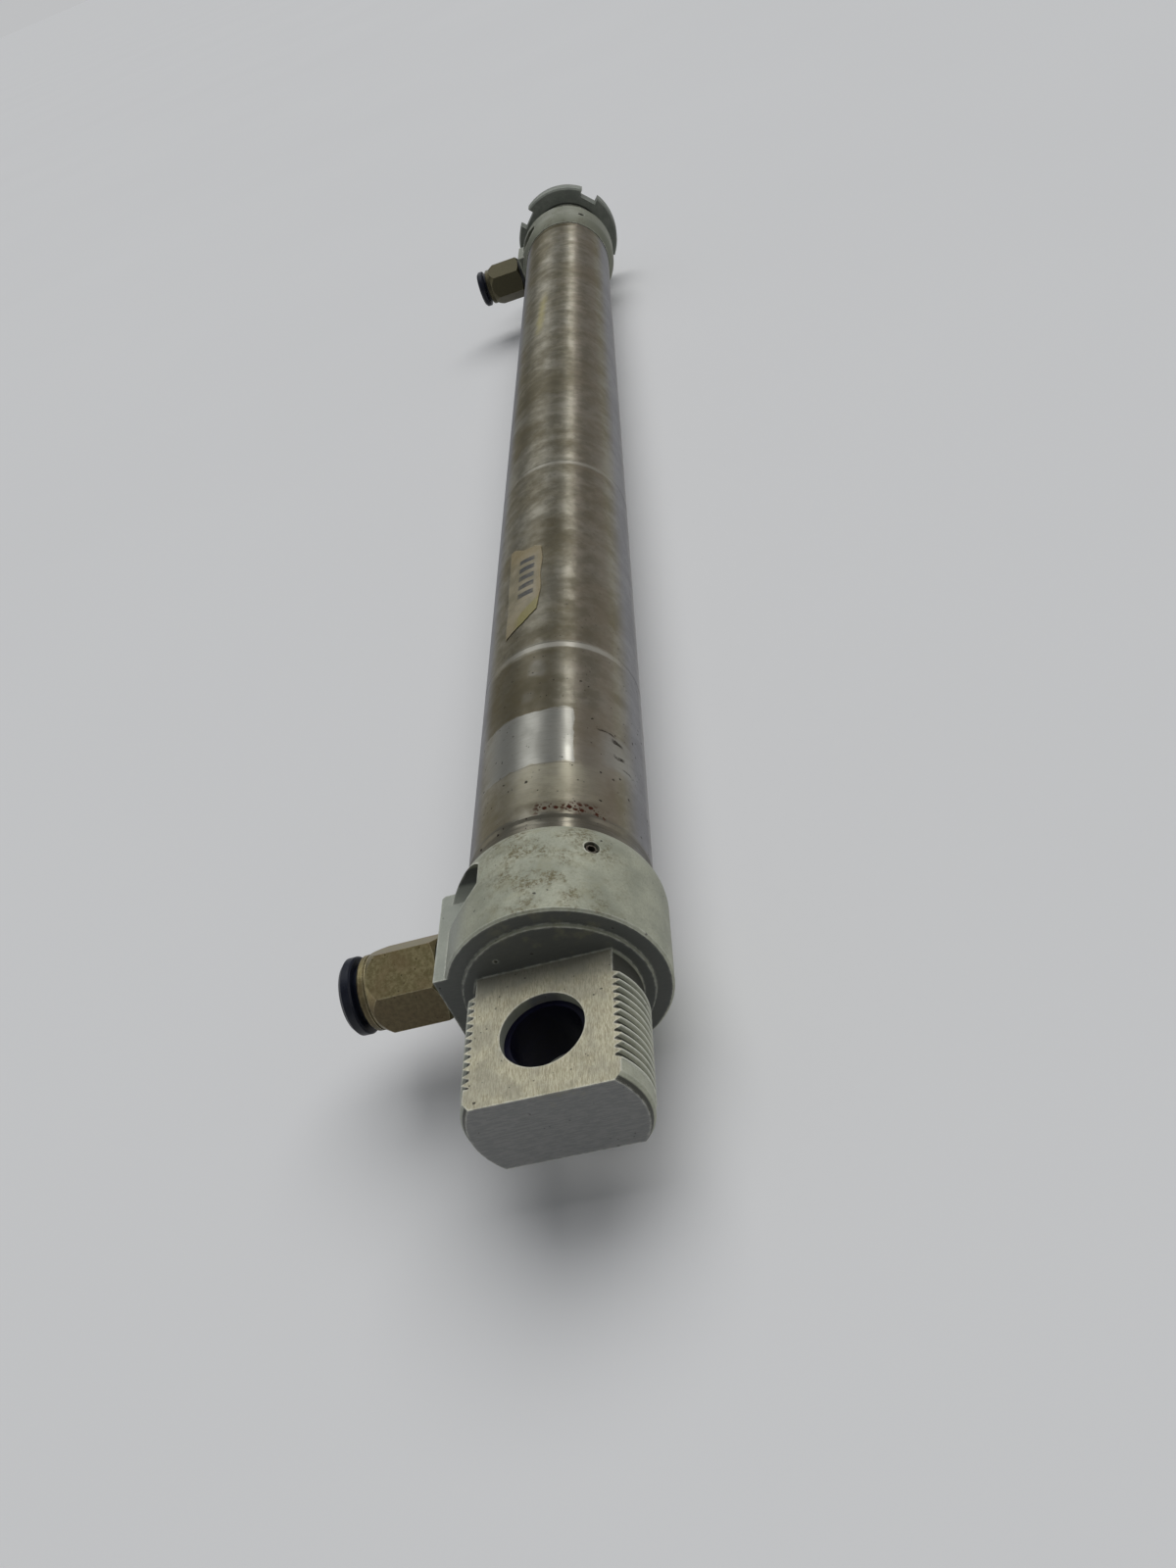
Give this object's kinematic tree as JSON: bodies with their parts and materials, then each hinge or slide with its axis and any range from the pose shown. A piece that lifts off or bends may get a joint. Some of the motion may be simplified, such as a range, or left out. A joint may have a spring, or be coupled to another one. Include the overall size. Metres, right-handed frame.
{
  "type": "pneumatic cylinder",
  "caption": "Slim round-body double-acting air cylinder with a threaded pivot tang, push-in hose fittings and a slotted nose nut.",
  "frame": {"origin": "centre of the rear pivot hole, on the cylinder axis", "axes": "+Y along the cylinder axis towards the rod, +Z along the pivot pin, ports face -X"},
  "size_m": [0.0604, 0.4963, 0.043],
  "materials": {
    "cover": "anodised satin, light greenish grey",
    "barrel": "drawn stainless, oil stained",
    "bush": "dark bearing liner",
    "seal": "matte",
    "bearing": "sintered bronze",
    "nut": "dark zinc",
    "label": null,
    "piston": "machined",
    "rod": "hard chrome, polished",
    "cushion": "machined",
    "magnet": "plastic bonded ferrite",
    "wear": "filled PTFE",
    "needle": "blackened",
    "fitting": "worn nickel over brass",
    "collar": "moulded acetal",
    "spring_steel": "spring stainless"
  },
  "bodies": {
    "cylinder": {"rear_cover": "cover", "front_cover": "cover", "barrel": "barrel", "pivot_bush": "bush", "rear_barrel_oring": "seal", "front_barrel_oring": "seal", "rear_cushion_seal": "seal", "front_cushion_seal": "seal", "rod_bearing_bush": "bearing", "rod_wiper_seal": "seal", "mounting_nut": "nut", "label": "label", "rear_fitting_body": "fitting", "rear_collet": "spring_steel", "rear_tube_seal": "seal", "rear_thread_seal": "seal", "front_fitting_body": "fitting", "front_collet": "spring_steel", "front_tube_seal": "seal", "front_thread_seal": "seal"},
    "piston_carriage": {"piston_rear_seal": "seal", "piston_front_seal": "seal", "magnet_ring": "magnet", "piston_wear_ring": "wear"},
    "rod_assembly": {"piston": "piston", "piston_rod": "rod", "rear_cushion_spear": "cushion", "front_cushion_sleeve": "cushion", "rear_bumper": "seal", "front_bumper": "seal", "rod_nut": "nut"},
    "rear_collar": {"rear_release_collar": "collar"},
    "rear_needle": {"rear_cushion_needle": "needle", "rear_needle_oring": "seal"},
    "front_collar": {"front_release_collar": "collar"},
    "front_needle": {"front_cushion_needle": "needle", "front_needle_oring": "seal"}
  },
  "joints": [
    {"name": "rod_stroke", "type": "slide", "parent": "cylinder", "child": "piston_carriage", "axis": [0, 1, 0], "range_m": [0, 0.32]},
    {"name": "rod_turn", "type": "hinge", "parent": "piston_carriage", "child": "rod_assembly", "pos_m": [0, 0.0625, 0], "axis": [0, 1, 0], "continuous": true},
    {"name": "rear_collar_press", "type": "slide", "parent": "cylinder", "child": "rear_collar", "axis": [1, 0, 0], "range_m": [0, 0.0009], "stiffness_N_per_m": 600},
    {"name": "rear_needle_turn", "type": "hinge", "parent": "cylinder", "child": "rear_needle", "pos_m": [0.00918, 0.0293, 0.01311], "axis": [0.5736, 0, 0.8192], "range_deg": [0, 720]},
    {"name": "front_collar_press", "type": "slide", "parent": "cylinder", "child": "front_collar", "axis": [1, 0, 0], "range_m": [0, 0.0009], "stiffness_N_per_m": 600},
    {"name": "front_needle_turn", "type": "hinge", "parent": "cylinder", "child": "front_needle", "pos_m": [0.00918, 0.4157, 0.01311], "axis": [0.5736, 0, 0.8192], "range_deg": [0, 720]}
  ]
}
